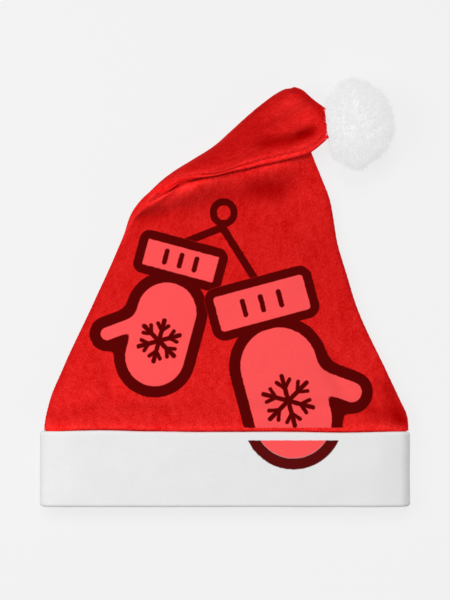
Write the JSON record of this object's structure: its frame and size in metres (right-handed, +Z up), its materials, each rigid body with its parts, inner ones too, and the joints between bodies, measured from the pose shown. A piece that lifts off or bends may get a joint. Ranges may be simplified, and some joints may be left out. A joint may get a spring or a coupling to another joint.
{
  "type": "santa hat",
  "caption": "Soft red cone-shaped hat lying flat, its point folded over to one side, with a wide white plush band and a fluffy white pompom.",
  "frame": {"origin": "on the surface that the hat lies on, under the middle of the plush band", "axes": "+X to the side that the point is folded to, +Y from the opening to the fold, +Z up from the surface"},
  "size_m": [0.29, 0.3381, 0.0574],
  "materials": {
    "red_fleece": "short brushed nap",
    "white_plush": "dense short pile",
    "white_pile": "long soft pile in locks"
  },
  "bodies": {
    "root": {"crown_front_panel": "red_fleece", "crown_back_panel": "red_fleece", "plush_band": "white_plush", "pompom": "white_pile"}
  },
  "joints": []
}
